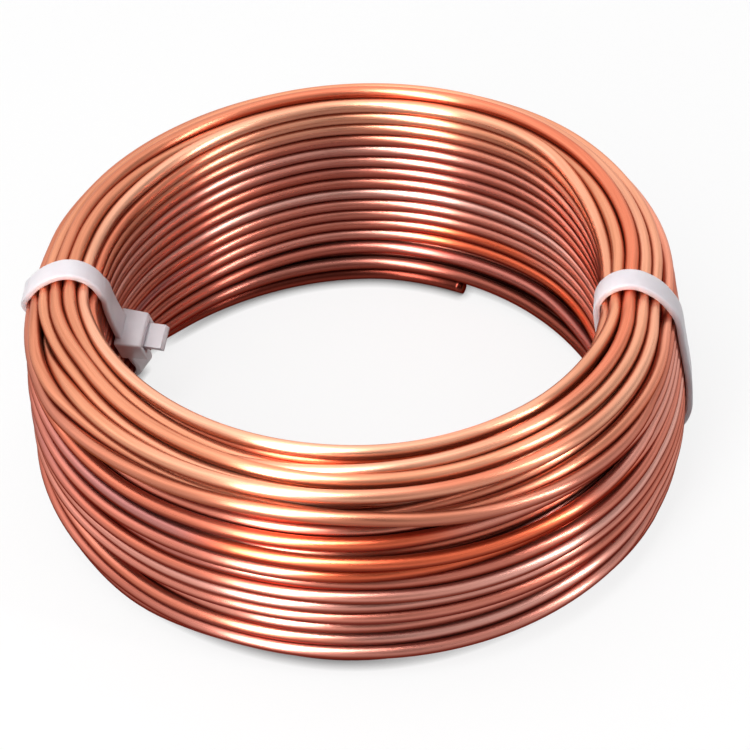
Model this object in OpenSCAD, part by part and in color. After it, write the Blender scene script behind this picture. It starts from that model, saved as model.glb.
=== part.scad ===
// Coil of bare round copper wire, wound by hand in close layers and held by two nylon cable ties.
// The coil lies on one end. Its origin is on the axis of the bore, at the floor, with Z up that
// axis and X towards the tie on the right.
// The winding is one turned solid: every turn that shows on the bore, the ends and the outside
// stands out as a half round, and the turns behind them are one core.

/* [Wire] */
// Diameter of the wire
wire_d = 2.5; // [2:0.1:2.8]
// Height from turn to turn, as a share of the wire's diameter
turn_pitch_ratio = 1.05; // [1.03:0.01:1.1]
// Radius from layer to layer, as a share of the wire's diameter
layer_pitch_ratio = 0.92; // [0.88:0.01:0.98]

/* [Winding] */
// Clear bore through the eye of the coil
bore_d = 93; // [80:1:110]
// Layers of turns from the bore to the outside
layers = 6; // [5:1:7]
// Turns that stand in the innermost layer
inner_turns = 16; // [14:1:18]
// How far the outer corners of the winding are rounded
shoulder_r = 7.6; // [6:0.2:8]

/* [Ties] */
// Width of the strap
strap_w = 4.8; // [3.6:0.1:5.4]
// Thickness of the strap
strap_t = 1.2; // [1:0.05:1.4]
// Angle round the axis at which the right tie crosses the top
right_tie_angle = -7.5; // [-15:0.5:0]
// Angle round the axis at which the left tie crosses the top
left_tie_angle = 177; // [170:0.5:185]
// How far the right tie slants round the axis from top to bottom
right_tie_slant = 4; // [0:0.5:10]
// How far the left tie slants round the axis from top to bottom
left_tie_slant = -22.5; // [-28:0.5:-10]
// Height of the right tie's head above the floor
right_head_z = 10; // [9:0.5:14]
// Height of the left tie's head above the floor
left_head_z = 17.5; // [10:0.5:22]

/* [Hidden] */
$fn = 96;

turn_pitch = wire_d * turn_pitch_ratio;
layer_pitch = wire_d * layer_pitch_ratio;
wire_r = wire_d / 2;
// The turn behind a gap, as far as it shows between two turns
behind_r = wire_r / 2;
bore_r = bore_d / 2;
outer_r = bore_r + wire_d + (layers - 1) * layer_pitch;
coil_h = (inner_turns - 1) * turn_pitch + wire_d;

// Clearance from a strap to the wire that it lies on
seat = 0.1;
// A groove's half width, as an angle, with room for the strap on each side
groove_half = 4.2;

// Middle surface of a strap, in the plane through the axis
strap_r_in = bore_r - seat - strap_t / 2;
strap_r_out = outer_r + seat + strap_t / 2;
strap_z_low = strap_t / 2;
strap_z_high = coil_h - strap_t / 2;
// The strap pulls the top of the winding rounder than the bottom, which the floor keeps flat
low_bend_in = 2.4;
low_bend_out = 6.6;
high_bend_in = 4.6;
high_bend_out = 8.6;
// It crosses both ends squarely, and slants round the axis between these heights
slant_from = coil_h - 5;
slant_to = 3;

// Moulded head of a tie: across the strap, along it, and standing off the wire
head_w = 7.6;
head_l = 7;
head_t = 5.2;
head_corner = 1.3;
// Lifts the head off the wire, so that its corners clear the round wall
head_lift = 0.4;
window_w = 5.4;
window_l = 3;
window_depth = 1.6;
tail_l = 3.6;

// --- Where the turns lie, in the plane through the axis -------------------------------------

function layer_r(j) = bore_r + wire_r + j * layer_pitch;

// Turns missing at each end of layer j, so that the outer corners follow a round shoulder
function reach(j) = max(0, layer_r(j) - layer_r(layers - 1) + shoulder_r - wire_r);
function missing(j) = let (r = shoulder_r - wire_r)
    round((r - sqrt(r * r - reach(j) * reach(j))) / turn_pitch);

// Each second layer nests between the turns of the one inside it, so it holds one turn less
function turns_in(j) = inner_turns - j % 2 - 2 * missing(j);
function turn_z(j, k) = coil_h / 2 + (k - (turns_in(j) - 1) / 2) * turn_pitch;

// Turns of layer j that the next layer leaves bare on its shoulder
function bare(j) = j < layers - 1 ? max(0, (turns_in(j) - turns_in(j + 1) - 1) / 2) : 0;

bottom_end = [for (j = [0 : layers - 1], k = [0 : bare(j)]) [layer_r(j), turn_z(j, k)]];
outside = [for (k = [1 : turns_in(layers - 1) - 2]) [layer_r(layers - 1), turn_z(layers - 1, k)]];
top_end = [for (k = [len(bottom_end) - 1 : -1 : 0])
    [bottom_end[k][0], coil_h - bottom_end[k][1]]];
inside = [for (k = [turns_in(0) - 2 : -1 : 1]) [layer_r(0), turn_z(0, k)]];

// Centres of all the turns that show, once round the section
shown_turns = concat(bottom_end, outside, top_end, inside);

module winding_section() {
    n = len(shown_turns);
    polygon(shown_turns);
    for (i = [0 : n - 1]) {
        translate(shown_turns[i]) circle(wire_r, $fn = 32);
        translate((shown_turns[i] + shown_turns[(i + 1) % n]) / 2) circle(behind_r, $fn = 24);
    }
}

// --- Route of a strap round the section, as [radius, height] points ---------------------------

function arc(centre, r, from, to, steps) = [for (i = [0 : steps])
    let (a = from + (to - from) * i / steps) centre + r * [cos(a), sin(a)]];
function line(from, to, steps) = [for (i = [1 : steps - 1]) from + (to - from) * i / steps];

low_in = [strap_r_in + low_bend_in, strap_z_low + low_bend_in];
low_out = [strap_r_out - low_bend_out, strap_z_low + low_bend_out];
high_in = [strap_r_in + high_bend_in, strap_z_high - high_bend_in];
high_out = [strap_r_out - high_bend_out, strap_z_high - high_bend_out];
strap_route = concat(
    arc(low_out, low_bend_out, -90, 0, 9),
    line(low_out + [low_bend_out, 0], high_out + [high_bend_out, 0], 10),
    arc(high_out, high_bend_out, 0, 90, 9),
    line(high_out + [0, high_bend_out], high_in + [0, high_bend_in], 3),
    arc(high_in, high_bend_in, 90, 180, 6),
    line(high_in - [high_bend_in, 0], low_in - [low_bend_in, 0], 14),
    arc(low_in, low_bend_in, 180, 270, 6),
    line(low_in - [0, low_bend_in], low_out - [0, low_bend_out], 3));

// What a strap presses out of an end: all beyond its inner face, and the seat deeper.
// The side is 1 at the top and -1 at the bottom.
function pressed_out(inner, inner_bend, outer, outer_bend, side) =
    let (deeper = [0, -side * seat], beyond = side > 0 ? coil_h + 1 : -1)
    concat(
        [[outer_r + 1, outer[1]]],
        arc(outer + deeper, outer_bend - strap_t / 2, 0, side * 90, 9),
        arc(inner + deeper, inner_bend - strap_t / 2, side * 90, side * 180, 6),
        [[bore_r - 1, inner[1]], [bore_r - 1, beyond], [outer_r + 1, beyond]]);

// A groove about the coil's own axis, where a strap crosses an end
module pressed_groove(angle, section) {
    rotate([0, 0, angle - groove_half])
        rotate_extrude(angle = 2 * groove_half) polygon(section);
}

module wire_coil() {
    color([0.78, 0.43, 0.3])
    difference() {
        rotate_extrude() winding_section();
        for (tie = [[right_tie_angle, right_tie_slant], [left_tie_angle, left_tie_slant]]) {
            pressed_groove(tie[0], pressed_out(high_in, high_bend_in, high_out, high_bend_out, 1));
            pressed_groove(tie[0] + tie[1], pressed_out(low_in, low_bend_in, low_out, low_bend_out, -1));
        }
    }
}

// --- Cable ties ------------------------------------------------------------------------------

function slanted(top_angle, slant, z) =
    top_angle + slant * min(1, max(0, (slant_from - z) / (slant_from - slant_to)));
function turned(p, angle) = [p[0] * cos(angle), p[0] * sin(angle), p[1]];
function unit(v) = v / norm(v);

// The strap: a flat band swept along the route, which slants round the axis as it comes down
module strap(top_angle, slant) {
    n = len(strap_route);
    path = [for (p = strap_route) turned(p, slanted(top_angle, slant, p[1]))];
    sections = [for (i = [0 : n - 1])
        let (
            back = strap_route[(i + n - 1) % n],
            ahead = strap_route[(i + 1) % n],
            angle = slanted(top_angle, slant, strap_route[i][1]),
            along = unit(path[(i + 1) % n] - path[(i + n - 1) % n]),
            flat = unit(ahead - back),
            outward = [flat[1] * cos(angle), flat[1] * sin(angle), -flat[0]],
            across = unit(cross(along, outward)),
            up = cross(across, along),
            w = across * strap_w / 2,
            t = up * strap_t / 2
        )
        [path[i] - w - t, path[i] + w - t, path[i] + w + t, path[i] - w + t]];
    polyhedron(
        points = [for (s = sections, p = s) p],
        faces = [for (i = [0 : n - 1], k = [0 : 3])
            let (a = i * 4, b = (i + 1) % n * 4, m = (k + 1) % 4)
            [a + k, a + m, b + m, b + k]],
        convexity = 4);
}

module rounded_rect(w, l, r) {
    for (side = [0, 1])
        square([w - 2 * r * side, l - 2 * r * (1 - side)], center = true);
    for (x = [-1, 1], y = [-1, 1])
        translate([x * (w / 2 - r), y * (l / 2 - r)]) circle(r);
}

// Head in its own frame: Y across the strap, Z along it, and X out of the coil's wall
module head() {
    difference() {
        rotate([0, 90, 0]) linear_extrude(head_t) rounded_rect(head_l, head_w, head_corner);
        translate([head_t - window_depth, -window_w / 2, -window_l / 2])
            cube([window_depth + 1, window_w, window_l]);
    }
    translate([strap_t, -strap_w / 2, -strap_t / 2])
        cube([head_t - strap_t + tail_l, strap_w, strap_t]);
}

module cable_tie(top_angle, slant, head_z) {
    wall = bore_r - seat;
    slope = atan(wall * slant * PI / 180 / (slant_from - slant_to));
    color([0.9, 0.89, 0.9]) {
        strap(top_angle, slant);
        rotate([0, 0, slanted(top_angle, slant, head_z)])
            translate([wall - head_lift, 0, head_z])
                rotate([slope, 0, 0])
                    mirror([1, 0, 0]) head();
    }
}

module tie_right() { cable_tie(right_tie_angle, right_tie_slant, right_head_z); }
module tie_left() { cable_tie(left_tie_angle, left_tie_slant, left_head_z); }

wire_coil();
tie_right();
tie_left();
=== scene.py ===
"""Looks of the copper wire coil: every turn of the real winding, its two nylon ties, floor and light."""

import math

import bpy
import numpy as np
from mathutils import Matrix, Vector


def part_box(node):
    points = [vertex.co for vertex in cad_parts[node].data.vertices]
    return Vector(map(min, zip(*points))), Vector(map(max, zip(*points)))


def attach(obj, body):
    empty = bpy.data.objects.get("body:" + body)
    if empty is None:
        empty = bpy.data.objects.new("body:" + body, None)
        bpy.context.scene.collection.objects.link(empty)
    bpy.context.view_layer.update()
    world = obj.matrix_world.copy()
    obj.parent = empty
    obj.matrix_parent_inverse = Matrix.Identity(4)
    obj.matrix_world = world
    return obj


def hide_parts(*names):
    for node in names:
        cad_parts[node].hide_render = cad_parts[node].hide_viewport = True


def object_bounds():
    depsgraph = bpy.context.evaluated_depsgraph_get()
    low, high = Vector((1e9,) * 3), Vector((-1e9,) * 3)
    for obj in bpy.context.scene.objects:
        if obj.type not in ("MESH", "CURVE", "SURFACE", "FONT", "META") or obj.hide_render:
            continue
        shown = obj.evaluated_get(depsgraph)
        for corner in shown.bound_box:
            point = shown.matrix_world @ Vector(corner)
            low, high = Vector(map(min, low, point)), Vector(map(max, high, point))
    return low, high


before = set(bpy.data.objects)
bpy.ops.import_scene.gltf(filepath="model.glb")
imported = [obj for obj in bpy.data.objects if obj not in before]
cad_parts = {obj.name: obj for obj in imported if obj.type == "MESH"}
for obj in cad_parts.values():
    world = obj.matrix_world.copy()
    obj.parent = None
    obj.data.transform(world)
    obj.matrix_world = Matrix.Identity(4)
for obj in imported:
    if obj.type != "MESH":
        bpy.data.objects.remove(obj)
cad_low, cad_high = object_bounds()
coil_low, coil_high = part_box("wire_coil")

MM = 0.001

FLOOR_Z = cad_low.z
COIL_H = coil_high.z - coil_low.z
OUTER_R = (coil_high.y - coil_low.y) / 2
MIDDLE = Vector((0, 0, FLOOR_Z + COIL_H / 2))

# The winding, as part.scad states it
WIRE = 2.5 * MM
EYE_R = 46.5 * MM
TURN_PITCH = 1.05 * WIRE
LAYER_PITCH = 0.92 * WIRE
TURNS = (16, 15, 16, 15, 14, 11)   # turns in each layer, from the eye outwards

# The ties, as part.scad states them: angle at the top, slant round the axis to the bottom, and
# height of the head. A strap slants between the two heights
TIES = {"tie_right": (-7.5, 4.0, 10 * MM), "tie_left": (177.0, -22.5, 17.5 * MM)}
SLANT_FROM, SLANT_TO = COIL_H - 5 * MM, 3 * MM
STRAP_W = 4.8 * MM
STRAP_T = 1.2 * MM
HEAD_W, HEAD_L, HEAD_T = 7.6 * MM, 7.0 * MM, 5.2 * MM
TAIL_L = 3.6 * MM

# How finely the wire is made, and where its turns begin, in degrees round the axis
SAMPLES = 192                      # rings of vertices in a turn
SIDES = 16                         # round the wire
START_ANGLE = 63.0
FIRST_TURNS = (0, 22, 44, 66)      # the turn at which each mesh of the wire begins


def smoothstep(x):
    x = np.clip(x, 0, 1)
    return x * x * (3 - 2 * x)


def rising(x, low, high):
    """0 below low, 1 above high, and smooth between."""
    return smoothstep((x - low) / (high - low))


def near(angle, at, half, fade):
    """1 within half of the angle at, falling to 0 over fade more. All in degrees."""
    off = np.abs((angle - at + 180) % 360 - 180)
    return 1 - rising(off, half, half + fade)


def unit(rows):
    return rows / np.linalg.norm(rows, axis=1, keepdims=True)


def turned(rows, angle):
    """Rows of (radius, height), each turned round the axis to its angle in degrees, as (x, y, z)."""
    a = np.radians(angle)
    return np.stack([rows[:, 0] * np.cos(a), rows[:, 0] * np.sin(a), rows[:, 1]], 1)


# --- The winding --------------------------------------------------------------------------------

# For each layer, from the eye outwards: the share of a turn at which the wire begins to step over
# to its next place and has reached it, how far the turns wander along the wall and off it, how
# firmly they are drawn to their places, and the share of the bulges below that they take
STEP_FROM = np.array([0.80, 0.36, 0.42, 0.38, 0.30, 0.15])
STEP_TO = np.array([0.97, 0.62, 0.64, 0.66, 0.72, 0.90])
WANDER_Z = np.array([0.05, 0.15, 0.35, 1.0, 2.2, 3.6]) * MM
WANDER_R = np.array([0.0, 0.0, 0.1, 0.3, 0.9, 1.3]) * MM
FIRMNESS = np.array([0.12, 0.08, 0.06, 0.05, 0.04, 0.04])
FULLNESS = np.array([0, 0, 0.1, 0.3, 0.6, 1.0])
WANDER_KNOTS = 4.0                 # a turn
SEED = 1                           # of the wandering: one that leaves the wire without kinks

# How far the outer turns stand out beyond the plain winding, as (angle, mm): most between the ties
BULGES = (
    (-175, 0), (-160, 0.9), (-140, 1.2), (-110, 0.8), (-90, 1.2), (-70, 2.2), (-50, 2.0), (-30, -0.6),
    (-5, -0.8), (12, 0.9), (30, 2.3), (60, 2.6), (100, 3.0), (120, 2.2), (140, -0.3), (165, -0.7),
)

# The upper turns lean into the eye, most of all by the right tie, which pulls them together: how
# far, at what angle, for how many degrees to each side of it, and over how many more that fades. It
# grows between these shares of the coil's height
LEANS = ((3.0 * MM, 2.0, 10.0, 44.0), (0.45 * MM, 238.0, 14.0, 30.0))
LEAN_FROM, LEAN_TO = 0.3, 0.9

# The lowest turns stand further into the eye at the back, given in the same way. It fades between
# these heights
TOES = ((1.3 * MM, 38.0, 18.0, 30.0), (0.7 * MM, 125.0, 50.0, 30.0))
TOE_FROM, TOE_TO = 4 * MM, 11 * MM

# At the back all but the lowest turns have slid outwards. It grows between these heights
SLIDE, SLIDE_ANGLE, SLIDE_HALF, SLIDE_FADE = 2.4 * MM, 68.0, 24.0, 42.0
SLIDE_FROM, SLIDE_TO = 2 * MM, 11 * MM

# Beside a tie, in degrees: where it holds the turns together and where they dip under its strap,
# fully and then fading. What it holds wanders less, by this share
HELD_HALF, HELD_FADE = 2, 40
DIP_HALF, DIP_FADE = 4, 16
HELD_CALM = 0.85

# Rounding of the winding's corners: free, and what a tie adds to it
EYE_CORNER, EYE_CORNER_HELD = 1.0 * MM, 3.5 * MM
OUTER_CORNER, OUTER_CORNER_HELD = 4.0 * MM, 4.0 * MM

# The solver. To straighten the wire, each point goes a share of the way to the middle between the
# points a few steps before and after it. Where turns overlap, each gives way by a share of it
SOLVER_STEPS = 260
SETTLING_STEPS = 60                # the last ones, when the turns are no longer drawn to their places
STRAIGHTEN = ((6, 0.3), (3, 0.3), (1, 0.3))
STRAIGHTEN_SETTLING = ((2, 0.1),)
APART = 0.985 * WIRE               # how far apart the middle lines of two turns are kept
GIVE_WAY = 0.36
PUSHES = 3                         # in each step
LOOK_EVERY = 12                    # steps between two looks for neighbours
LOOK_REACH = 1.5 * WIRE


def ideal_winding():
    """Places (radius, height) along the wire of a perfectly laid coil, with each point's layer and
    its distance along the wire in turns."""
    places = []
    for layer, count in enumerate(TURNS):
        slots = [COIL_H / 2 + (k - (count - 1) / 2) * TURN_PITCH for k in range(count)]
        radius = EYE_R + WIRE / 2 + layer * LAYER_PITCH
        places += [(radius, z, layer) for z in (slots if layer % 2 == 0 else slots[::-1])]
    places = np.array(places)
    turns = np.arange(len(places) * SAMPLES) / SAMPLES
    here = np.floor(turns).astype(int)
    after = np.minimum(here + 1, len(places) - 1)
    layer = places[here, 2].astype(int)
    share = rising(turns - here, STEP_FROM[layer], STEP_TO[layer])[:, None]
    spots = places[here, :2] * (1 - share) + places[after, :2] * share
    return spots, layer, turns


def wander(rng, turns):
    """A smooth random wave along the wire, about 1 high: a cubic through random knots."""
    x = turns * WANDER_KNOTS
    knot = x.astype(int)
    f = x - knot
    value = rng.normal(size=int(x[-1]) + 4)
    a, b, c, d = value[np.maximum(knot - 1, 0)], value[knot], value[knot + 1], value[knot + 2]
    square = 2 * a - 5 * b + 4 * c - d
    cube = 3 * b - a - 3 * c + d
    return 0.5 * (2 * b + (c - a) * f + square * f**2 + cube * f**3)


def neighbours(spots, turn_count):
    """Pairs of points on different turns that pass close to each other."""
    index = np.arange(turn_count * SAMPLES).reshape(turn_count, SAMPLES)
    at = spots[index].transpose(1, 0, 2)
    gap = at[:, :, None, :] - at[:, None, :, :]
    column, a, b = np.nonzero((gap**2).sum(-1) < LOOK_REACH**2)
    once = a < b
    return index[a[once], column[once]], index[b[once], column[once]]


class Room:
    """The space that the ties and the floor leave the wire's middle line, at each of its points."""

    def __init__(self, angle):
        self.held = np.zeros(len(angle))
        self.high = np.full(len(angle), COIL_H - WIRE / 2)
        self.low = np.full(len(angle), WIRE / 2)
        for top, slant, _ in TIES.values():
            held = near(angle, top + slant / 2, abs(slant) / 2 + HELD_HALF, HELD_FADE)
            self.held = np.maximum(self.held, held)
            self.high -= STRAP_T * near(angle, top, DIP_HALF, DIP_FADE)
            self.low += STRAP_T * near(angle, top + slant, DIP_HALF, DIP_FADE)
        bulge_angles, bulges = np.array(BULGES).T
        self.bulge = np.interp(angle, bulge_angles, bulges * MM, period=360)
        self.inside = EYE_R + WIRE / 2
        self.outside = OUTER_R - WIRE / 2 + self.bulge
        self.inner_corner = EYE_CORNER + EYE_CORNER_HELD * self.held
        self.outer_corner = OUTER_CORNER + OUTER_CORNER_HELD * self.held
        self.lean = sum(lean * near(angle, at, half, fade) for lean, at, half, fade in LEANS)
        self.toe = sum(toe * near(angle, at, half, fade) for toe, at, half, fade in TOES)
        self.slide = SLIDE * near(angle, SLIDE_ANGLE, SLIDE_HALF, SLIDE_FADE)

    def shift(self, z):
        """How far the whole winding stands outwards at that height."""
        lean = self.lean * rising(z / COIL_H, LEAN_FROM, LEAN_TO)
        toe = self.toe * (1 - rising(z, TOE_FROM, TOE_TO))
        return self.slide * rising(z, SLIDE_FROM, SLIDE_TO) - lean - toe

    def keep(self, spots):
        """The same points, each brought back inside the walls and the rounded corners."""
        shift = self.shift(spots[:, 1])
        r = np.clip(spots[:, 0] - shift, self.inside, self.outside)
        z = np.clip(spots[:, 1], self.low, self.high)
        walls = ((1, self.outer_corner, self.outside), (-1, self.inner_corner, self.inside))
        for out, corner, wall in walls:
            for up, limit in ((1, self.high), (-1, self.low)):
                centre_r, centre_z = wall - out * corner, limit - up * corner
                over_r, over_z = (r - centre_r) * out, (z - centre_z) * up
                length = np.hypot(over_r, over_z)
                past = (over_r > 0) & (over_z > 0) & (length > corner)
                scale = corner / np.maximum(length, corner)
                r = np.where(past, centre_r + out * over_r * scale, r)
                z = np.where(past, centre_z + up * over_z * scale, z)
        return np.stack([r + shift, z], 1)


def straightened(spots, reach, share):
    middle = (spots[2 * reach :] + spots[: -2 * reach]) / 2
    spots = spots.copy()
    spots[reach:-reach] += share * (middle - spots[reach:-reach])
    return spots


def pushed_apart(spots, one, other):
    """The same points, after those of each pair that overlap have given way to each other."""
    gap = spots[one] - spots[other]
    length = np.maximum(np.linalg.norm(gap, axis=1), 1e-9)
    push = (GIVE_WAY * np.maximum(0, APART - length) / length)[:, None] * gap
    moves = [np.bincount(one, push[:, axis], len(spots)) for axis in (0, 1)]
    back = [np.bincount(other, push[:, axis], len(spots)) for axis in (0, 1)]
    return spots + np.stack(moves, 1) - np.stack(back, 1)


def wound_wire():
    """Lets the turns find their places: they wander a little, keep off each other, bend smoothly
    and are squeezed together by the ties. Returns each point's (radius, height), its angle round
    the axis, and its distance along the wire in turns."""
    rng = np.random.default_rng(SEED)
    ideal, layer, turns = ideal_winding()
    angle = (START_ANGLE + 360 * turns) % 360
    room = Room(angle)
    free = 1 - HELD_CALM * room.held
    goal = ideal.copy()
    goal[:, 1] += WANDER_Z[layer] * free * wander(rng, turns)
    goal[:, 0] += WANDER_R[layer] * free * wander(rng, turns)
    goal[:, 0] += FULLNESS[layer] * np.maximum(room.bulge, 0)
    goal[:, 0] += room.shift(goal[:, 1])
    spots = ideal.copy()
    spots[:, 0] += room.shift(spots[:, 1])
    for step in range(SOLVER_STEPS):
        settling = step >= SOLVER_STEPS - SETTLING_STEPS
        if step % LOOK_EVERY == 0:
            one, other = neighbours(spots, sum(TURNS))
        if not settling:
            spots += FIRMNESS[layer][:, None] * (goal - spots)
        for reach, share in STRAIGHTEN_SETTLING if settling else STRAIGHTEN:
            spots = straightened(spots, reach, share)
        for _ in range(PUSHES):
            spots = room.keep(pushed_apart(spots, one, other))
    return spots, angle, turns


# --- Meshes -------------------------------------------------------------------------------------


def mesh_object(name, points, faces, flat_faces=()):
    mesh = bpy.data.meshes.new(name)
    mesh.from_pydata(np.asarray(points).tolist(), [], faces)
    mesh.shade_smooth()
    for face in flat_faces:
        mesh.polygons[face].use_smooth = False
    obj = bpy.data.objects.new(name, mesh)
    bpy.context.scene.collection.objects.link(obj)
    return obj


def swept_faces(rings, sides, closed=False):
    """Faces between rings of points, ring after ring. They face outwards where each ring runs
    anticlockwise as one looks along the sweep. A closed sweep joins the last to the first."""
    ring = np.arange(rings if closed else rings - 1)[:, None]
    side = np.arange(sides)[None, :]
    ahead, beside = (ring + 1) % rings, (side + 1) % sides
    corners = [(ring, side), (ahead, side), (ahead, beside), (ring, beside)]
    return np.stack([r * sides + s for r, s in corners], -1).reshape(-1, 4).tolist()


def point_attribute(obj, name, values):
    attribute = obj.data.attributes.new(name, "FLOAT", "POINT")
    attribute.data.foreach_set("value", values.astype(np.float32).ravel())


# --- The wire -----------------------------------------------------------------------------------

# Where along the wire, in turns from its start, a painted warm reflection makes it redder, and over how
# many that fades
WARM_REFLECTION_TURNS = ((2.90, 3.02), (3.97, 4.01), (14.54, 14.66), (77.54, 77.59), (78.52, 78.66), (79.56, 79.70))
WARM_REFLECTION_FADE = 0.04

# Painted shade on the wire: 1 at the bottom of a groove, and less as the gap to the next turn grows.
# The floor counts as a turn at a share of its distance. The underside takes painted shade by itself, up
# to where the skin faces upwards by the first of these sines, and none from the second
GROOVE_REACH = 0.16 * WIRE
FLOOR_GAP = 0.5
UNDERSIDE = 0.95
UNDERSIDE_UP_TO, UNDERSIDE_GONE = 0.12, 0.57


def painted_shade_depth(spots):
    """How deep each point round the wire lies in painted shade, from 0 to 1: in grooves and underneath.
    """
    turn_count = sum(TURNS)
    grid = spots.reshape(turn_count, SAMPLES, 2)
    depth = np.zeros((turn_count, SAMPLES, SIDES))
    own = np.arange(turn_count)
    for side in range(SIDES):
        angle = 2 * math.pi * side / SIDES
        skin = grid + WIRE / 2 * np.array([math.cos(angle), math.sin(angle)])
        distance = np.linalg.norm(skin[:, None] - grid[None], axis=-1)
        distance[own, own] = np.inf
        gap = np.minimum(distance.min(1) - WIRE / 2, FLOOR_GAP * np.maximum(skin[..., 1], 0))
        under = UNDERSIDE * (1 - rising(math.sin(angle), UNDERSIDE_UP_TO, UNDERSIDE_GONE))
        depth[:, :, side] = np.maximum(np.exp(-np.maximum(gap, 0) / GROOVE_REACH), under)
    return depth.reshape(-1, SIDES)


# Share of the painted warm reflection at each point along the wire
def warm_reflection_share(turns):
    share = np.zeros(len(turns))
    for start, end in WARM_REFLECTION_TURNS:
        off = np.maximum(np.maximum(start - turns, turns - end), 0)
        share = np.maximum(share, 1 - smoothstep(off / WARM_REFLECTION_FADE))
    return share


def wire_uv(along):
    """For each corner of a wire's faces: metres along the wire, and the share round it."""
    low, high = np.repeat(along[:-1], SIDES), np.repeat(along[1:], SIDES)
    left = np.tile(np.arange(SIDES) / SIDES, len(along) - 1)
    right = left + 1 / SIDES
    skin = np.stack([low, left, high, left, high, right, low, right], 1).reshape(-1, 2)
    caps = [(along[0], 0)] * SIDES + [(along[-1], 0)] * SIDES
    return np.concatenate([skin, caps])


def wire_mesh(name, path, along, frames, depth, warm_reflection):
    """A round wire along the path, with flat ends."""
    rings = len(path)
    outward, upward = (rows[:, None, :] for rows in frames)
    angle = 2 * math.pi * np.arange(SIDES)[None, :, None] / SIDES
    ring = outward * np.cos(angle) + upward * np.sin(angle)
    points = (path[:, None, :] + ring * WIRE / 2).reshape(-1, 3)
    faces = swept_faces(rings, SIDES)
    caps = [list(range(SIDES)), list(range((rings - 1) * SIDES, rings * SIDES))[::-1]]
    obj = mesh_object(name, points, faces + caps, (len(faces), len(faces) + 1))
    layer = obj.data.uv_layers.new(name="wire")
    layer.data.foreach_set("uv", wire_uv(along).astype(np.float32).ravel())
    # Painted shade of the grooves and undersides, kept on the points
    point_attribute(obj, "painted_shade", depth)
    point_attribute(obj, "warm_reflection", np.repeat(warm_reflection, SIDES))
    return obj


def build_wire(spots, angle, turns):
    path = turned(spots, angle) + (0, 0, FLOOR_Z)
    along = np.concatenate([[0], np.cumsum(np.linalg.norm(np.diff(path, axis=0), axis=1))])
    tangent = unit(np.gradient(path, axis=0))
    outward = turned(np.tile((1.0, 0.0), (len(path), 1)), angle)
    outward = unit(outward - (outward * tangent).sum(1, keepdims=True) * tangent)
    upward = np.cross(outward, tangent)
    depth = painted_shade_depth(spots)
    warm_reflection = warm_reflection_share(turns)
    cuts = [first * SAMPLES for first in FIRST_TURNS] + [len(path) - 1]
    pieces = []
    for number, (start, end) in enumerate(zip(cuts, cuts[1:]), 1):
        s = slice(start, end + 1)
        frames = outward[s], upward[s]
        piece = wire_mesh(f"wire_length_{number}", path[s], along[s], frames, depth[s], warm_reflection[s])
        pieces.append(piece)
    return pieces


# --- Ties ---------------------------------------------------------------------------------------

STRAP_POINTS = 260
STRAP_DIRECTIONS = 1440            # in which the strap looks for the turn that stands out furthest
CROSSING_PASSES = 4                # that find where a slanting strap crosses each turn
STIFFNESS = 36                     # passes that round the strap's bends
PRESS_PASSES = 3                   # that then lift it off the turns which it cuts
PRESS_SPREAD, PRESS_SOFTENING = 6, 12   # how widely and how softly it lifts, in points and in passes
STRAP_EDGE = 0.35 * MM             # rounding of the strap's edges
EDGE_STEPS = 3                     # faces across each rounded edge

# The head's face is a little smaller than its foot, and has a window that the strap comes out of
HEAD_TAPER = (0.94, 0.93)
WINDOW_W, WINDOW_L, WINDOW_DEPTH = 5.5 * MM, 2.7 * MM, 2.2 * MM
# The tail stands to one side in the window. Its tip is cut at a slant
TAIL_SIDE = 0.9 * MM
TAIL_SLANT = 0.5 * MM
TEETH, TOOTH, TOOTH_RISE = 7, 0.22 * MM, 0.9   # how many, how deep, and the share that rises
EDGE_ROUNDING = {"head": 0.55 * MM, "tail": 0.12 * MM}
SHARP_EDGE = 35                    # degrees from which an edge is rounded


def tie_angle(tie, z):
    top, slant, _ = tie
    return top + slant * np.clip((SLANT_FROM - z) / (SLANT_FROM - SLANT_TO), 0, 1)


def turns_under(tie, spots):
    """Where each turn passes under the tie, as (radius, height)."""
    first = np.arange(sum(TURNS)) * SAMPLES
    at = spots[first]
    for _ in range(CROSSING_PASSES):
        steps = ((tie_angle(tie, at[:, 1]) - START_ANGLE) % 360) / 360 * SAMPLES
        index = np.minimum(first + steps.astype(int), len(spots) - 2)
        f = (steps % 1)[:, None]
        at = spots[index] * (1 - f) + spots[index + 1] * f
    return at


def evenly(line):
    """The same closed line with STRAP_POINTS points at even steps."""
    line = np.concatenate([line, line[:1]])
    length = np.concatenate([[0], np.cumsum(np.linalg.norm(np.diff(line, axis=0), axis=1))])
    even = np.linspace(0, length[-1], STRAP_POINTS, endpoint=False)
    return np.stack([np.interp(even, length, line[:, i]) for i in (0, 1)], 1)


def softened(line, passes):
    for _ in range(passes):
        line = line + 0.5 * ((np.roll(line, 1, 0) + np.roll(line, -1, 0)) / 2 - line)
    return line


def step_along(line):
    return unit(np.roll(line, -1, 0) - np.roll(line, 1, 0))


def off_the_turns(route):
    """At each point of the closed route, the direction square to it and away from the turns."""
    step = step_along(route)
    return np.stack([step[:, 1], -step[:, 0]], 1)


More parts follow.
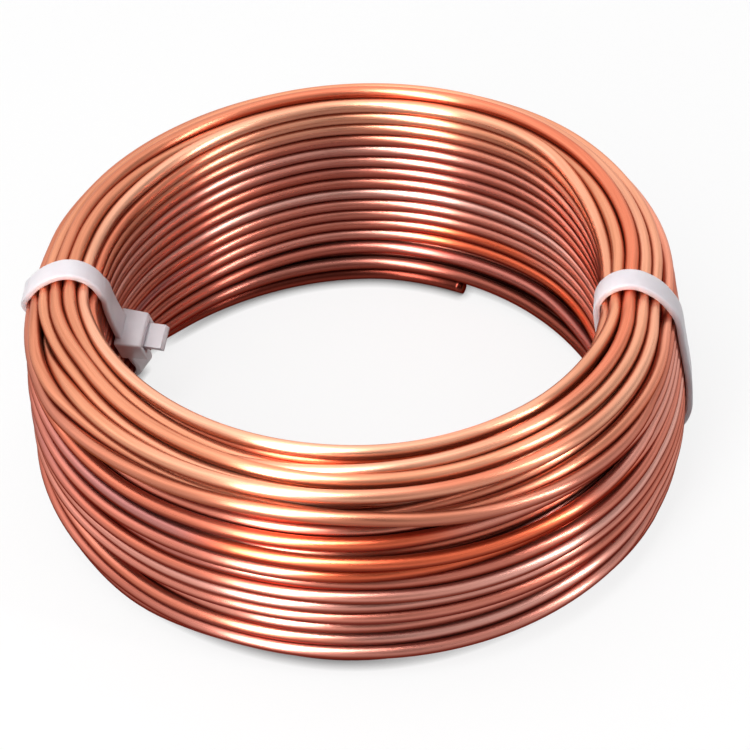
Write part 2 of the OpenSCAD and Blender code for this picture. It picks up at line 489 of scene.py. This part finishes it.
def strap_route(at):
    """The closed line of the strap's middle, as (radius, height): taut round the turns, and bent no
    more sharply than the stiff strap bends."""
    angle = np.linspace(0, 2 * math.pi, STRAP_DIRECTIONS, endpoint=False)
    out = np.stack([np.cos(angle), np.sin(angle)], 1)
    clear = WIRE / 2 + STRAP_T / 2
    route = evenly(at[(out @ at.T).argmax(1)] + clear * out)
    low, high = route[:, 1].min(), route[:, 1].max()
    route = softened(route, STIFFNESS)
    for _ in range(PRESS_PASSES):
        short = np.maximum(0, clear - np.linalg.norm(route[:, None] - at[None], axis=-1).min(1))
        spread = range(-PRESS_SPREAD, PRESS_SPREAD + 1)
        short = np.max([np.roll(short, k) for k in spread], axis=0)
        route = route + softened(short, PRESS_SOFTENING)[:, None] * off_the_turns(route)
        route[:, 1] = np.clip(route[:, 1], low, high)
    return evenly(route)


def strap_frames(route, tie):
    """Path of the strap with, at each point, the directions along it, across it and off the wire."""
    angle = tie_angle(tie, route[:, 1])
    path = turned(route, angle) + (0, 0, FLOOR_Z)
    along = step_along(path)
    across = unit(np.cross(along, turned(off_the_turns(route), angle)))
    return path, along, across, np.cross(across, along)


def strap_profile():
    """The strap's section, as (across, off), with rounded edges."""
    w, t = STRAP_W / 2 - STRAP_EDGE, STRAP_T / 2 - STRAP_EDGE
    points = []
    for quarter, (x, y) in enumerate(((w, t), (-w, t), (-w, -t), (w, -t))):
        for k in range(EDGE_STEPS + 1):
            angle = math.pi / 2 * (quarter + k / EDGE_STEPS)
            points.append((x + STRAP_EDGE * math.cos(angle), y + STRAP_EDGE * math.sin(angle)))
    return np.array(points)


def build_strap(name, frames):
    path, _, across, off = frames
    profile = strap_profile()
    sideways = profile[None, :, :1] * across[:, None]
    outwards = profile[None, :, 1:] * off[:, None]
    points = (path[:, None] + sideways + outwards).reshape(-1, 3)
    return mesh_object(name, points, swept_faces(len(path), len(profile), closed=True))


def head_block():
    """Head of a tie in its own frame, X across the strap, Y along it and Z off the wire, with a
    window in its face. Returns points and faces."""
    foot = (HEAD_W / 2, HEAD_L / 2, 0)
    face = (HEAD_TAPER[0] * HEAD_W / 2, HEAD_TAPER[1] * HEAD_L / 2, HEAD_T)
    rim = (WINDOW_W / 2, WINDOW_L / 2, HEAD_T)
    bottom = (WINDOW_W / 2, WINDOW_L / 2, HEAD_T - WINDOW_DEPTH)
    square = ((-1, -1), (1, -1), (1, 1), (-1, 1))
    points = [(sx * x, sy * y, z) for x, y, z in (foot, face, rim, bottom) for sx, sy in square]
    # The foot and the window's bottom, and between them the sides from each square to the next
    faces = [[3, 2, 1, 0], [12, 13, 14, 15]]
    for k in range(4):
        m = (k + 1) % 4
        faces += [[ring + k, ring + m, ring + 4 + m, ring + 4 + k] for ring in (0, 4, 8)]
    return points, faces


def tail_block():
    """Cut end of the strap standing out of the head's window, with its teeth on the lower side."""
    start, end = HEAD_T - WINDOW_DEPTH, HEAD_T + TAIL_L
    pitch = (end - start) / TEETH
    smooth, toothed = TAIL_SIDE, TAIL_SIDE - STRAP_T
    outline = [(smooth, end - TAIL_SLANT), (smooth, start)]
    for k in range(TEETH):
        outline.append((toothed, start + k * pitch))
        outline.append((toothed + TOOTH, start + (k + TOOTH_RISE) * pitch))
    outline.append((toothed, end))
    n = len(outline)
    points = [(side * STRAP_W / 2, y, z) for side in (-1, 1) for y, z in outline]
    faces = [list(range(n)), list(range(2 * n - 1, n - 1, -1))]
    faces += [[k, n + k, n + (k + 1) % n, (k + 1) % n] for k in range(n)]
    return points, faces


def build_head(name, head_z, frames, route):
    """The head and the tail, on the stretch of strap that runs down the eye's wall."""
    path, along, across, off = frames
    inner = route[:, 0] < route[:, 0].mean()
    at = np.where(inner, np.abs(route[:, 1] - head_z), np.inf).argmin()
    rise = 1 if along[at, 2] > 0 else -1
    axes = np.stack([across[at] * rise, along[at] * rise, off[at]])
    foot = path[at] - off[at] * STRAP_T / 2
    objects = []
    for part, (points, faces) in (("head", head_block()), ("tail", tail_block())):
        obj = mesh_object(f"{name}_{part}", foot + np.array(points) @ axes, faces)
        bevel = obj.modifiers.new("edges", "BEVEL")
        bevel.width = EDGE_ROUNDING[part]
        bevel.segments = EDGE_STEPS
        bevel.limit_method = "ANGLE"
        bevel.angle_limit = math.radians(SHARP_EDGE)
        objects.append(obj)
    return objects


def build_tie(name, tie, spots):
    route = strap_route(turns_under(tie, spots))
    frames = strap_frames(route, tie)
    return [build_strap(f"{name}_strap", frames)] + build_head(name, tie[2], frames, route)


# --- Nodes --------------------------------------------------------------------------------------


class Nodes:
    """Short words for building the nodes of a material or the world."""

    def __init__(self, owner):
        owner.use_nodes = True
        self.tree = owner.node_tree

    def add(self, kind, **settings):
        node = self.tree.nodes.new(kind)
        for key, value in settings.items():
            setattr(node, key, value)
        return node

    def link(self, source, target):
        self.tree.links.new(source, target)

    def put(self, value, socket):
        """Links an output to the socket, or sets the socket to a number or colour."""
        if isinstance(value, bpy.types.NodeSocket):
            self.link(value, socket)
        elif socket.type == "RGBA":
            socket.default_value = (*value, 1)
        else:
            socket.default_value = value

    def noise(self, vector, detail, roughness=0.5):
        """Noise whose largest marks are about one unit of the vector across."""
        node = self.add("ShaderNodeTexNoise")
        node.inputs["Scale"].default_value = 1.0
        node.inputs["Detail"].default_value = detail
        node.inputs["Roughness"].default_value = roughness
        self.link(vector, node.inputs["Vector"])
        return node.outputs["Fac"]

    def scaled(self, vector, scale):
        node = self.add("ShaderNodeMapping")
        node.inputs["Scale"].default_value = scale
        self.link(vector, node.inputs["Vector"])
        return node.outputs["Vector"]

    def separate(self, vector, axis):
        node = self.add("ShaderNodeSeparateXYZ")
        self.link(vector, node.inputs[0])
        return node.outputs[axis]

    def length(self, vector):
        node = self.add("ShaderNodeVectorMath", operation="LENGTH")
        self.link(vector, node.inputs[0])
        return node.outputs["Value"]

    def dot(self, vector, direction):
        node = self.add("ShaderNodeVectorMath", operation="DOT_PRODUCT")
        self.link(vector, node.inputs[0])
        node.inputs[1].default_value = direction
        return node.outputs["Value"]

    def rising(self, value, low, high, to=(0, 1), kind="SMOOTHSTEP"):
        """The first number of to where value is low, and the second where it is high."""
        node = self.add("ShaderNodeMapRange", interpolation_type=kind)
        node.inputs["From Min"].default_value = low
        node.inputs["From Max"].default_value = high
        node.inputs["To Min"].default_value = to[0]
        node.inputs["To Max"].default_value = to[1]
        self.link(value, node.inputs["Value"])
        return node.outputs["Result"]

    def ramp(self, factor, *stops):
        """Stops are (position, (red, green, blue)) or (position, grey)."""
        node = self.add("ShaderNodeValToRGB")
        elements = node.color_ramp.elements
        while len(elements) < len(stops):
            elements.new(0.5)
        for element, (position, colour) in zip(elements, stops):
            element.position = position
            element.color = (*colour, 1) if isinstance(colour, tuple) else (colour, colour, colour, 1)
        self.link(factor, node.inputs["Fac"])
        return node.outputs["Color"]

    def mix(self, factor, a, b, blend="MIX", data_type="RGBA"):
        node = self.add("ShaderNodeMix", data_type=data_type, blend_type=blend)
        self.put(factor, node.inputs["Factor"])
        self.put(a, node.inputs["A"])
        self.put(b, node.inputs["B"])
        return node.outputs["Result"]

    def math(self, operation, a, b):
        node = self.add("ShaderNodeMath", operation=operation)
        self.put(a, node.inputs[0])
        self.put(b, node.inputs[1])
        return node.outputs[0]


def new_material(name):
    """A material's nodes, its shader's inputs, and the material."""
    material = bpy.data.materials.new(name)
    n = Nodes(material)
    return n, n.tree.nodes["Principled BSDF"].inputs, material


# --- Copper -------------------------------------------------------------------------------------

# Tints of the drawn copper, as it tarnishes along its length, each at its place in the noise. The orange
# ones are painted warm light on the upper turns
PINK_TINTS = (
    (0.36, (0.55, 0.22, 0.20)), (0.46, (0.72, 0.23, 0.16)), (0.54, (0.86, 0.35, 0.27)),
    (0.64, (0.92, 0.48, 0.40)),
)
ORANGE_TINTS = ((0.38, (0.66, 0.235, 0.135)), (0.5, (0.79, 0.33, 0.19)), (0.62, (0.88, 0.43, 0.28)))
ROSY_TINT = (0.76, 0.20, 0.11)
# Tint of the painted warm reflection on given turns
WARM_REFLECTION_TINT = (0.92, 0.18, 0.08)
# Painted shade in the grooves and under the wire: the colour it darkens to
GROOVE_SHADE_TINT = (0.14, 0.022, 0.014)
GROOVE_SHADE, GROOVE_SHADE_TOP = 0.92, 0.62    # how much of it the grooves hold, on the lower and on the upper turns

# How fine the marks on the copper are: how many in a metre of wire, and in the way round it
DRIFT_FINENESS = (4, 0.4, 1)
ROSY_FINENESS = (4.25, 0.68, 1.7)
STREAK_FINENESS = (60, 14, 1)

# What the marks do: how rosy the tint is, what the streaks multiply it by, and how rough and how
# high they are
ROSY_SHARES = ((0.56, 0), (0.64, 0.8))
STREAK_TINTS = ((0.25, (0.80, 0.74, 0.70)), (0.55, (1, 1, 1)))
STREAK_ROUGHNESS = ((0.2, 0.34), (0.8, 0.24))
STREAK_HEIGHT = 0.02 * MM
STREAK_BUMP = 0.08                 # strength of that height

# Height at which the tint turns from pink to orange: painted warm light on the upper turns
WARM_TOP_FROM, WARM_TOP_TO = 30 * MM, 39 * MM

# The lowest turns take painted shade, from the second height down to the first. On the wall of the eye
# this reaches higher. That wall ends between these radii
FOOT_SHADE_FROM, FOOT_SHADE_TO = 1.2 * MM, 11 * MM
FOOT_SHADE_HIGHER = 1.7 * MM
EYE_WALL_FROM, EYE_WALL_TO = EYE_R + 0.9 * WIRE, EYE_R + 1.7 * WIRE
FOOT_SHADE_TINTS = (
    (0, (0.12, 0.08, 0.07)), (0.2, (0.42, 0.34, 0.33)), (0.42, (0.72, 0.66, 0.66)), (1, (1, 1, 1)),
)

# What the metal mirrors at a glancing angle takes this tint, where it is bare and where a groove holds
# painted shade
GLANCING_BARE = (0.95, 0.74, 0.68)
GLANCING_SHADED = (0.36, 0.13, 0.09)


def copper_tint(n, place, streaks, warm_top):
    """Tint drifts along the wire as it tarnishes, and fine streaks follow the drawing direction. The
    upper turns take the orange tints as painted warm light, and given turns a painted warm reflection.
    """
    drift = n.noise(n.scaled(place, DRIFT_FINENESS), detail=3.0)
    tint = n.mix(warm_top, n.ramp(drift, *PINK_TINTS), n.ramp(drift, *ORANGE_TINTS))
    rosy = n.ramp(n.noise(n.scaled(place, ROSY_FINENESS), detail=2.0), *ROSY_SHARES)
    # Painted warm reflection on given turns
    warm_reflection = n.add("ShaderNodeAttribute", attribute_name="warm_reflection").outputs["Fac"]
    tint = n.mix(warm_reflection, n.mix(rosy, tint, ROSY_TINT), WARM_REFLECTION_TINT)
    return n.mix(1.0, tint, n.ramp(streaks, *STREAK_TINTS), "MULTIPLY")


def painted_foot_shade(n, where, height):
    """Painted shade: what the tint is multiplied by on the lowest turns."""
    radius = n.length(n.scaled(where, (1, 1, 0)))
    higher = n.rising(radius, EYE_WALL_FROM, EYE_WALL_TO, to=(FOOT_SHADE_HIGHER, 0))
    foot_shade = n.rising(n.math("SUBTRACT", height, higher), FOOT_SHADE_FROM, FOOT_SHADE_TO, kind="LINEAR")
    return n.ramp(foot_shade, *FOOT_SHADE_TINTS)


def copper():
    n, shader, material = new_material("drawn_copper")
    place = n.add("ShaderNodeUVMap", uv_map="wire").outputs["UV"]
    where = n.add("ShaderNodeTexCoord").outputs["Object"]
    height = n.separate(where, "Z")
    # Painted warm light on the upper turns
    warm_top = n.rising(height, WARM_TOP_FROM, WARM_TOP_TO)
    streaks = n.noise(n.scaled(place, STREAK_FINENESS), detail=4.0, roughness=0.6)
    bare = copper_tint(n, place, streaks, warm_top)
    # Painted shade on the lowest turns
    bare = n.mix(1.0, bare, painted_foot_shade(n, where, height), "MULTIPLY")
    # Painted shade in the grooves and under the wire, less of it on the upper turns
    painted_shade = n.add("ShaderNodeAttribute", attribute_name="painted_shade").outputs["Fac"]
    groove_shade = n.math("MULTIPLY", painted_shade, n.rising(warm_top, 0, 1, to=(GROOVE_SHADE, GROOVE_SHADE_TOP), kind="LINEAR"))
    n.link(n.mix(groove_shade, bare, GROOVE_SHADE_TINT), shader["Base Color"])
    n.link(n.mix(groove_shade, GLANCING_BARE, GLANCING_SHADED), shader["Specular Tint"])
    n.link(n.ramp(streaks, *STREAK_ROUGHNESS), shader["Roughness"])
    shader["Metallic"].default_value = 1.0
    # Drawing leaves fine lines along the wire, which spread a highlight round it
    shader["Anisotropic"].default_value = 0.85
    shader["Anisotropic Rotation"].default_value = 0.25
    tangent = n.add("ShaderNodeTangent", direction_type="UV_MAP", uv_map="wire")
    n.link(tangent.outputs["Tangent"], shader["Tangent"])
    bump = n.add("ShaderNodeBump")
    bump.inputs["Strength"].default_value = STREAK_BUMP
    bump.inputs["Distance"].default_value = STREAK_HEIGHT
    n.link(streaks, bump.inputs["Height"])
    n.link(bump.outputs["Normal"], shader["Normal"])
    return material


# --- Nylon --------------------------------------------------------------------------------------

NYLON_TINTS = ((0.3, (0.66, 0.61, 0.65)), (0.7, (0.76, 0.715, 0.745)))
NYLON_ROUGHNESS = ((0.3, 0.34), (0.7, 0.46))
CLOUD_FINENESS = (180, 180, 180)   # a metre
LIGHT_REACH = (2 * MM, 1.6 * MM, 1.6 * MM)   # how far red, green and blue light goes in it


def nylon():
    """Natural nylon: faintly clouded, and a little translucent."""
    n, shader, material = new_material("natural_nylon")
    where = n.add("ShaderNodeTexCoord").outputs["Object"]
    cloud = n.noise(n.scaled(where, CLOUD_FINENESS), detail=3.0)
    n.link(n.ramp(cloud, *NYLON_TINTS), shader["Base Color"])
    n.link(n.ramp(cloud, *NYLON_ROUGHNESS), shader["Roughness"])
    shader["Subsurface Weight"].default_value = 0.5
    shader["Subsurface Radius"].default_value = LIGHT_REACH
    shader["Subsurface Scale"].default_value = 1.0
    return material


# --- Floor and light ----------------------------------------------------------------------------

FLOOR_HALF = 3.0                   # metres from the coil to the floor's edges
FLOOR_COLOUR = 0.15
FLOOR_LIFT = 0.83                  # what lifts it to white for the camera and in what mirrors it
CONTACT_REACH = 2 * MM             # how far from the coil that lift is weaker

# The studio round the coil: an even dim light, and soft bright patches in it, with their direction
# (azimuth, elevation), strength, and the angles from it at which they begin to fade and are gone
WORLD_BASE = 0.05
WORLD_PATCHES = (
    ((106, 38), 1.25, 42, 74),
    ((-90, 84), 0.8, 12, 42),
    ((196, 25), 0.95, 15, 45),
    ((-45, 30), 0.6, 12, 40),
    ((8, 25), 0.4, 8, 27),
)
WORLD_ON_MATT = 0.4                # share of the studio's light that falls on matt surfaces

# The pale backdrop, which is all that the camera sees of the world. The metal mirrors it too, up to
# where it fades between these elevations
BACKDROP = 0.945
BACKDROP_TOP = (9, 17)

# Lamps: direction (azimuth, elevation), distance, width and height in metres, strength, where 1 is
# as bright as white paper in plain light, and whether it lights only what shines
LAMPS = {
    "key": ((-122, 42), 0.9, (0.25, 1.5), 7.8, False),
    "key_shine": ((-121, 39), 0.91, (0.2, 1.15), 17.0, True),
    "side": ((-23.5, 34), 0.9, (0.06, 0.8), 8.5, False),
    "side_shine": ((-23.5, 32), 0.91, (0.05, 0.55), 19.0, True),
}


def towards(azimuth, elevation):
    a, e = math.radians(azimuth), math.radians(elevation)
    return Vector((math.cos(a) * math.cos(e), math.sin(a) * math.cos(e), math.sin(e)))


def floor_paint():
    """Pale, and lifted to white for the camera and for what the metal mirrors. It keeps the shadow."""
    n, shader, material = new_material("floor_paint")
    shader["Base Color"].default_value = (FLOOR_COLOUR, FLOOR_COLOUR, FLOOR_COLOUR, 1)
    shader["Roughness"].default_value = 0.9
    shader["Specular IOR Level"].default_value = 0.1
    shader["Emission Color"].default_value = (1, 1, 1, 1)
    ray = n.add("ShaderNodeLightPath").outputs
    mirrored = n.math("MAXIMUM", ray["Is Glossy Ray"], ray["Is Transmission Ray"])
    seen = n.math("MAXIMUM", ray["Is Camera Ray"], mirrored)
    # Close under the turns the lift is gone, so the coil stands on its own dark edge
    contact = n.add("ShaderNodeAmbientOcclusion", samples=8)
    contact.inputs["Distance"].default_value = CONTACT_REACH
    lift = n.math("MULTIPLY", n.math("MULTIPLY", seen, FLOOR_LIFT), contact.outputs["AO"])
    n.link(lift, shader["Emission Strength"])
    return material


def build_floor():
    h = FLOOR_HALF
    corners = [(-h, -h, FLOOR_Z), (h, -h, FLOOR_Z), (h, h, FLOOR_Z), (-h, h, FLOOR_Z)]
    floor = mesh_object("floor", corners, [[0, 1, 2, 3]])
    floor.data.materials.append(floor_paint())


def build_lamp(name, direction, distance, size, strength, shine_only):
    data = bpy.data.lights.new(name, "AREA")
    data.shape = "RECTANGLE"
    data.size, data.size_y = size
    data.energy = strength * math.pi * size[0] * size[1]
    lamp = bpy.data.objects.new(name, data)
    lamp.location = MIDDLE + distance * towards(*direction)
    lamp.rotation_mode = "QUATERNION"
    lamp.rotation_quaternion = (MIDDLE - lamp.location).to_track_quat("-Z", "Y")
    lamp.visible_diffuse = not shine_only
    bpy.context.scene.collection.objects.link(lamp)


def build_world():
    world = bpy.data.worlds.new("studio")
    n = Nodes(world)
    direction = n.add("ShaderNodeTexCoord").outputs["Generated"]
    light = WORLD_BASE
    for centre, strength, full, gone in WORLD_PATCHES:
        nearness = n.dot(direction, towards(*centre))
        cos_gone, cos_full = math.cos(math.radians(gone)), math.cos(math.radians(full))
        light = n.math("ADD", n.rising(nearness, cos_gone, cos_full, to=(0, strength)), light)
    ray = n.add("ShaderNodeLightPath").outputs
    share = n.rising(ray["Is Diffuse Ray"], 0, 1, to=(1, WORLD_ON_MATT), kind="LINEAR")
    studio = n.math("MULTIPLY", light, share)
    top_from, top_to = (math.sin(math.radians(elevation)) for elevation in BACKDROP_TOP)
    low_down = n.rising(n.separate(direction, "Z"), top_from, top_to, to=(1, 0))
    mirrored = n.math("MAXIMUM", ray["Is Glossy Ray"], ray["Is Transmission Ray"])
    seen = n.math("MAXIMUM", ray["Is Camera Ray"], n.math("MULTIPLY", mirrored, low_down))
    background = n.tree.nodes["Background"].inputs
    background["Color"].default_value = (1, 1, 1, 1)
    n.link(n.mix(seen, studio, BACKDROP, data_type="FLOAT"), background["Strength"])
    bpy.context.scene.world = world


# --- Camera -------------------------------------------------------------------------------------

# A long lens, looking down on the coil from the front
CAMERA_ELEVATION = 40.64
CAMERA_ROLL = 2.07
CAMERA_DISTANCE = 0.529
VIEW_WIDTH = 137.5 * MM            # what the picture takes in at the coil's distance
SENSOR = 36.0
AIM = (2.52 * MM, -4.04 * MM)      # to the right of the coil's middle and up from it, seen square on


def build_camera():
    e = math.radians(CAMERA_ELEVATION)
    back = Vector((0, -math.cos(e), math.sin(e)))
    up = Vector((0, math.sin(e), math.cos(e)))
    data = bpy.data.cameras.new("camera")
    data.sensor_width = SENSOR
    data.lens = SENSOR * CAMERA_DISTANCE / VIEW_WIDTH
    camera = bpy.data.objects.new("camera", data)
    camera.location = MIDDLE + CAMERA_DISTANCE * back
    aim = MIDDLE + Vector((AIM[0], 0, 0)) + AIM[1] * up
    look = (aim - camera.location).to_track_quat("-Z", "Y").to_matrix()
    roll = Matrix.Rotation(-math.radians(CAMERA_ROLL), 3, "Z")
    camera.rotation_mode = "QUATERNION"
    camera.rotation_quaternion = (look @ roll).to_quaternion()
    bpy.context.scene.collection.objects.link(camera)
    bpy.context.scene.camera = camera


# --- Scene --------------------------------------------------------------------------------------


def add_pieces(pieces, material, node):
    for piece in pieces:
        piece.data.materials.append(material)
        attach(piece, "root")
        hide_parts(node)


bpy.context.scene.view_settings.view_transform = "Standard"
build_camera()
build_floor()
build_world()
for name, facts in LAMPS.items():
    build_lamp(name, *facts)

spots, angle, turns = wound_wire()
add_pieces(build_wire(spots, angle, turns), copper(), "wire_coil")
nylon_material = nylon()
for name, tie in TIES.items():
    add_pieces(build_tie(name, tie, spots), nylon_material, name)
